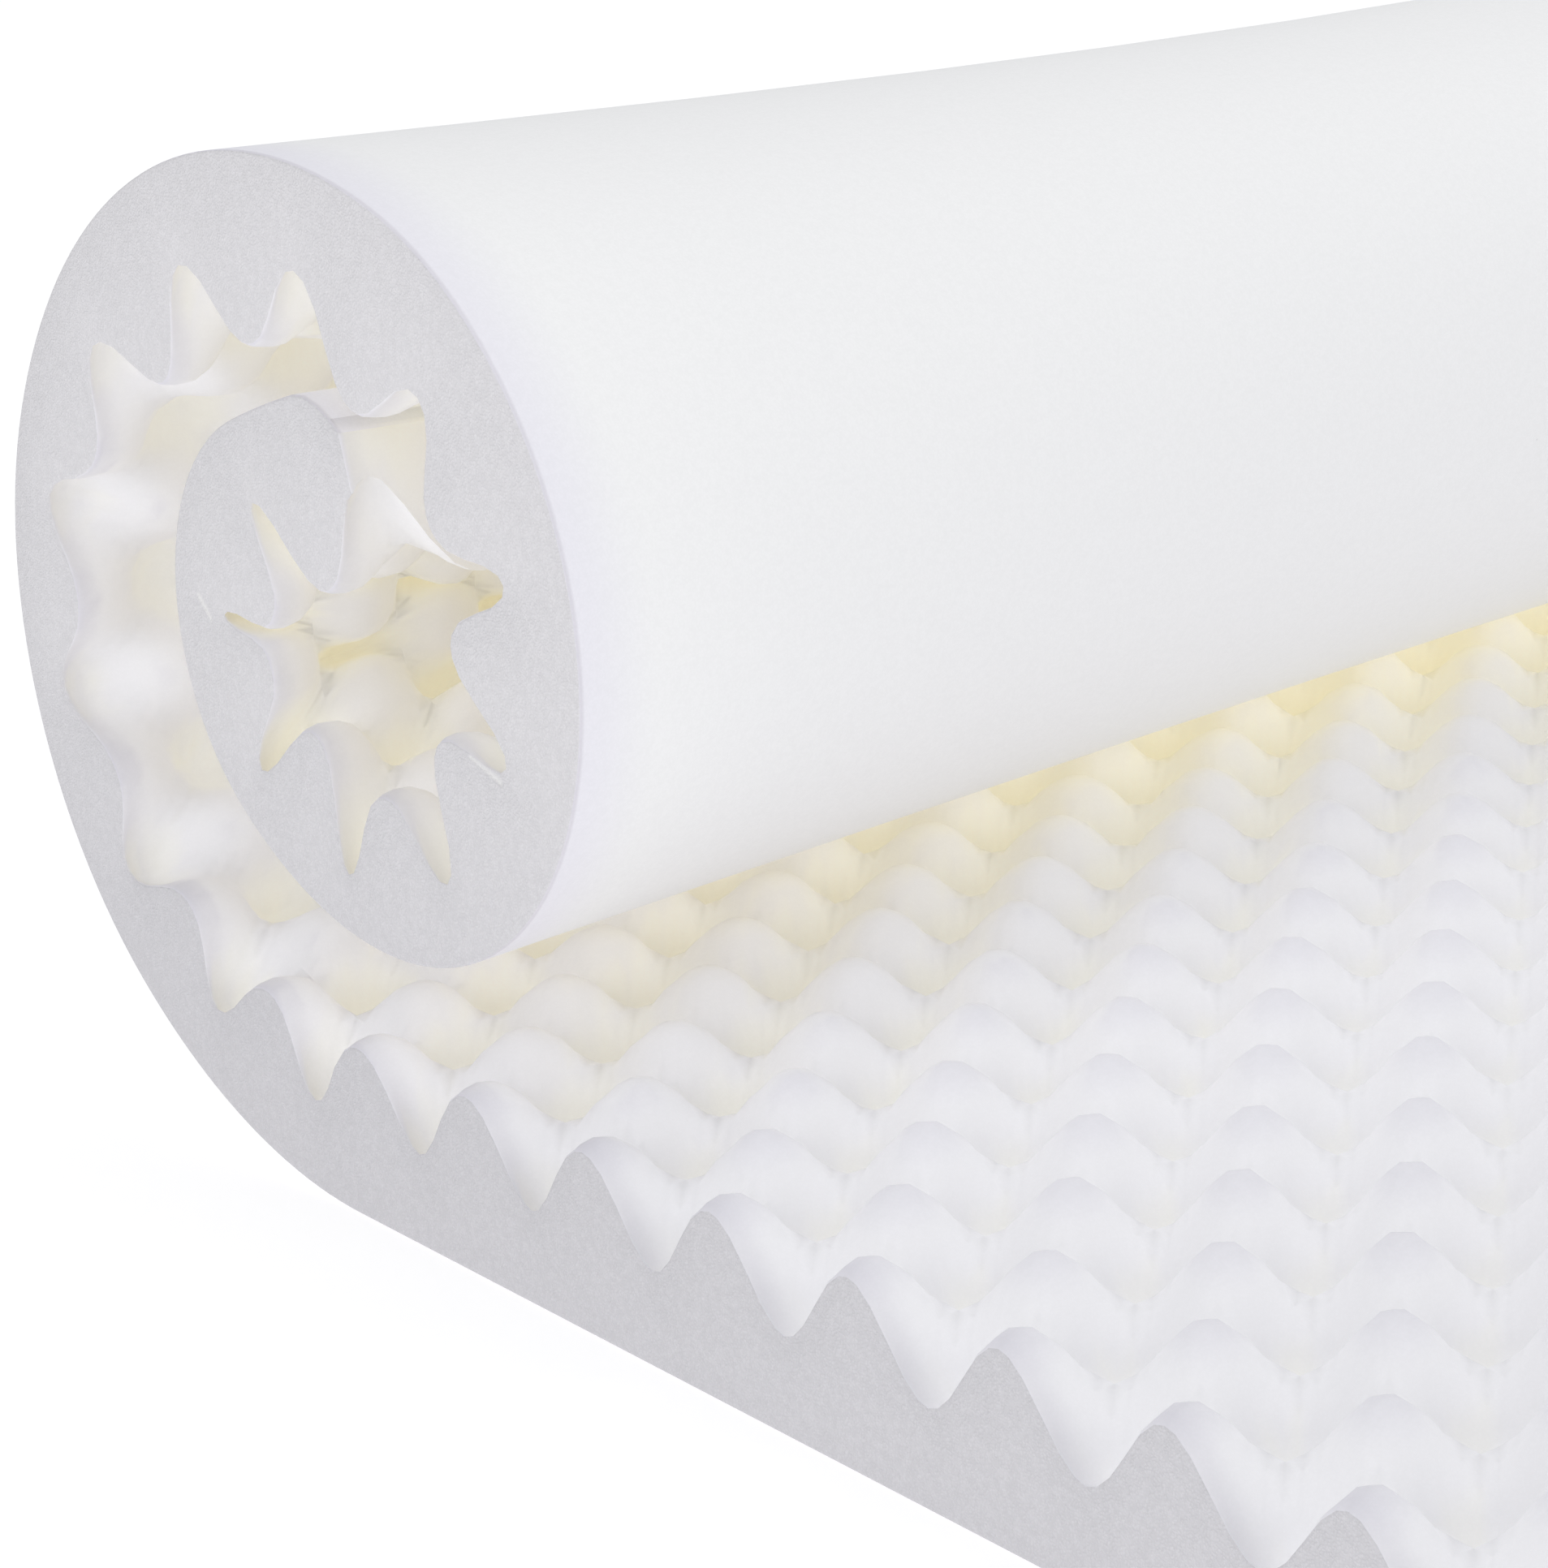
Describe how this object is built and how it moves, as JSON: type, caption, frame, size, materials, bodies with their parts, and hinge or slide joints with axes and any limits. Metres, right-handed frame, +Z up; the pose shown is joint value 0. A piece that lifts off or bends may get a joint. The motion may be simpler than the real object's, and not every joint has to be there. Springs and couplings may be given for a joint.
{
  "type": "mattress topper",
  "caption": "Convoluted foam mattress topper, smooth below with rounded peaks and valleys above, lying flat with its back end rolled forward one and a half turns.",
  "frame": {"origin": "under the middle of the slab's box, on the surface it lies on", "axes": "+X along the roll towards its tighter end, -Y towards the open front end of the flat part, +Z up"},
  "size_m": [0.99, 1.2522, 0.2788],
  "materials": {
    "foam": "open-cell polyurethane foam, matt, fine grained"
  },
  "bodies": {
    "root": {"topper": "foam"}
  },
  "joints": []
}
